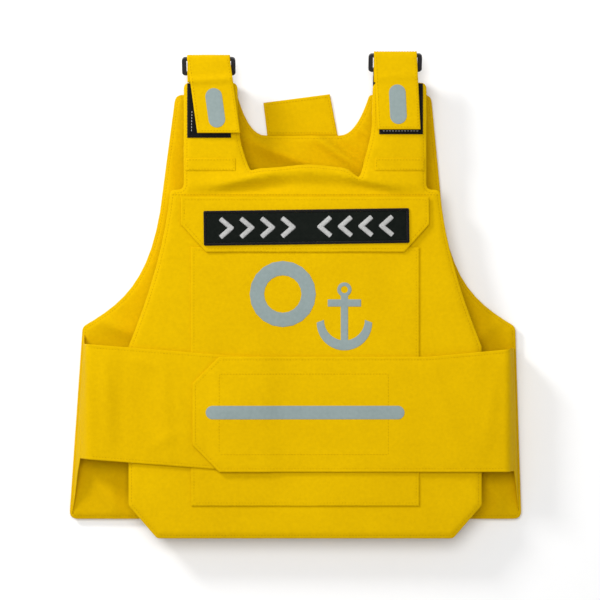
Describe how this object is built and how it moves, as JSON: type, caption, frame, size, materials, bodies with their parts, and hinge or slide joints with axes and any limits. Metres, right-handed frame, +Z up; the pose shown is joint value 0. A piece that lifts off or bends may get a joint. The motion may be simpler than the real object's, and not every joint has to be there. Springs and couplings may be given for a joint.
{
  "type": "inflatable life jacket",
  "caption": "Vest-type inflatable life jacket with shoulder straps on rings, a wrap waistband and a chest flap over its inflator.",
  "frame": {"origin": "under the middle of the jacket as it lies closed on its back, on the surface it lies on", "axes": "+Z up out of the chest, +Y towards the shoulders, +X to the viewer's right"},
  "size_m": [0.513, 0.546, 0.0483],
  "materials": {
    "shell": "matte coated woven cloth, yellow",
    "lining": "matte coated woven cloth, yellow, inner side",
    "bladder": "airtight coated cloth, ochre, slight sheen",
    "tape": "black hook and loop tape",
    "webbing": "black woven webbing",
    "patch": "black twill with a merrowed border",
    "ring": "moulded black acetal",
    "film": "grey reflective film, satin",
    "gear": "moulded dark grey plastic",
    "steel": "zinc-plated steel, satin",
    "toggle": "red moulded plastic",
    "indicator": "green moulded plastic"
  },
  "bodies": {
    "back": {"back_cover": "shell", "back_bladder": "bladder", "back_lining": "lining", "left_ring": "ring", "left_ring_webbing": "webbing", "right_ring": "ring", "right_ring_webbing": "webbing"},
    "neck_tab": {"neck_tab": "shell"},
    "front": {"front_cover": "shell", "front_bladder": "bladder", "front_lining": "lining", "pocket_panel": "shell", "emblem_buoy": "film", "emblem_anchor": "film", "left_strap": "shell", "left_loop_tape": "tape", "left_tab_patch": "shell", "right_strap": "shell", "right_loop_tape": "tape", "right_tab_patch": "shell", "inflator_body": "gear", "inflator_nut": "gear", "ready_indicator": "indicator", "oral_tube": "gear", "oral_valve": "toggle"},
    "chest_flap": {"chest_flap": "shell", "patch_face": "patch", "patch_border": "patch"},
    "left_flap": {"left_strap_flap": "shell", "left_hook_tape": "tape", "left_strap_reflector": "film"},
    "right_flap": {"right_strap_flap": "shell", "right_hook_tape": "tape", "right_strap_reflector": "film"},
    "under_side": {"under_side_panel": "shell"},
    "under_band": {"under_band": "shell", "under_loop_panel": "tape"},
    "outer_side": {"outer_side_panel": "shell"},
    "outer_band": {"outer_band": "shell", "outer_hook_panel": "tape", "outer_reflective_bar": "film"},
    "gas_cylinder": {"gas_cylinder": "steel"},
    "firing_lever": {"firing_lever": "toggle", "pull_cord": "webbing", "pull_toggle": "toggle"},
    "oral_cap": {"oral_cap": "gear"}
  },
  "joints": [
    {"name": "front_lift", "type": "hinge", "parent": "back", "child": "front", "pos_m": [0.0075, 0.26615, 0.04145], "axis": [-0.9998, -0.0191, 0], "range_deg": [0, 9]},
    {"name": "outer_side_fold", "type": "hinge", "parent": "back", "child": "outer_side", "pos_m": [0.2485, -0.129, 0.0087], "axis": [0, 1, 0], "range_deg": [0, 90]},
    {"name": "outer_band_fold", "type": "hinge", "parent": "outer_side", "child": "outer_band", "pos_m": [0.2485, -0.129, 0.0456], "axis": [0, 1, 0], "range_deg": [0, 90]},
    {"name": "under_side_fold", "type": "hinge", "parent": "back", "child": "under_side", "pos_m": [-0.2348, -0.12, 0.0087], "axis": [0, -1, 0], "range_deg": [0, 90]},
    {"name": "under_band_fold", "type": "hinge", "parent": "under_side", "child": "under_band", "pos_m": [-0.2348, -0.12, 0.0415], "axis": [0, -1, 0], "range_deg": [0, 90]},
    {"name": "chest_flap_fold", "type": "hinge", "parent": "front", "child": "chest_flap", "pos_m": [0.011, 0.11, 0.0434], "axis": [-1, 0, 0], "range_deg": [0, 150]},
    {"name": "left_flap_peel", "type": "hinge", "parent": "front", "child": "left_flap", "pos_m": [-0.097, 0.26415, 0.0463], "axis": [-1, 0, 0], "range_deg": [0, 150]},
    {"name": "right_flap_peel", "type": "hinge", "parent": "front", "child": "right_flap", "pos_m": [0.112, 0.26815, 0.0463], "axis": [-1, 0, 0], "range_deg": [0, 150]},
    {"name": "neck_tab_lift", "type": "hinge", "parent": "back", "child": "neck_tab", "pos_m": [0.0081, 0.1813, 0.0016], "axis": [1, 0, 0], "range_deg": [0, 85]},
    {"name": "firing_lever_pull", "type": "hinge", "parent": "front", "child": "firing_lever", "pos_m": [-0.069, 0.092, 0.0379], "axis": [0, 0, -1], "range_deg": [0, 55]},
    {"name": "gas_cylinder_turn", "type": "hinge", "parent": "front", "child": "gas_cylinder", "pos_m": [-0.0177, 0.092, 0.0271], "axis": [1, 0, 0], "continuous": true},
    {"name": "oral_cap_slide", "type": "slide", "parent": "front", "child": "oral_cap", "axis": [-1, 0, 0], "range_m": [0, 0.03]}
  ],
  "couplings": [
    {"joint": "outer_side_fold", "follows": "front_lift", "ratio": 10},
    {"joint": "outer_band_fold", "follows": "front_lift", "ratio": 10},
    {"joint": "under_side_fold", "follows": "front_lift", "ratio": 10},
    {"joint": "under_band_fold", "follows": "front_lift", "ratio": 10}
  ]
}
